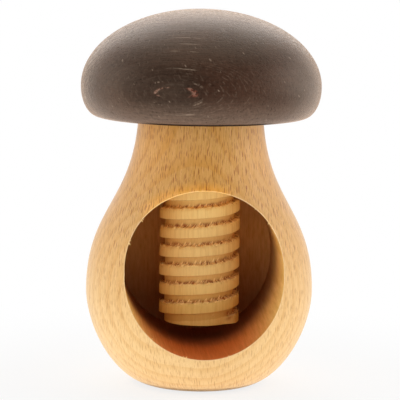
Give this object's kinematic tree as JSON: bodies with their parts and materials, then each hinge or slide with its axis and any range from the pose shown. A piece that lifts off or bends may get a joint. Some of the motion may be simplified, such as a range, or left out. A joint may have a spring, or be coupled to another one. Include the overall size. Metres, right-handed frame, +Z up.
{
  "type": "screw nutcracker",
  "caption": "Mushroom-shaped wooden screw nutcracker: turning the domed cap drives a wooden screw down through the neck into a round nut chamber bored in the belly.",
  "frame": {"origin": "centre of the flat base, on the turning axis", "axes": "+Z up along the turning and screw axis, the chamber's mouth faces -Y, +X to the right as seen from the mouth"},
  "size_m": [0.0894, 0.0894, 0.14],
  "materials": {
    "body_wood": "oiled beech, fine sanded",
    "screw_wood": "raw beech as cut, torn fibres on the thread",
    "cap_stain": "dark brown stain, satin",
    "dowel_wood": "raw beech"
  },
  "bodies": {
    "stem": {"body": "body_wood"},
    "feed": {"cap_dowel": "dowel_wood"},
    "cap_and_screw": {"cap": "cap_stain", "press_screw": "screw_wood"}
  },
  "joints": [
    {"name": "screw_feed", "type": "slide", "parent": "stem", "child": "feed", "axis": [0, 0, 1], "range_m": [0, 0.06391]},
    {"name": "cap_turn", "type": "hinge", "parent": "feed", "child": "cap_and_screw", "pos_m": [0, 0, 0.1], "axis": [0, 0, 1], "range_deg": [0, 3240]}
  ],
  "couplings": [
    {"joint": "screw_feed", "follows": "cap_turn", "m_per_rad": 0.00113}
  ]
}
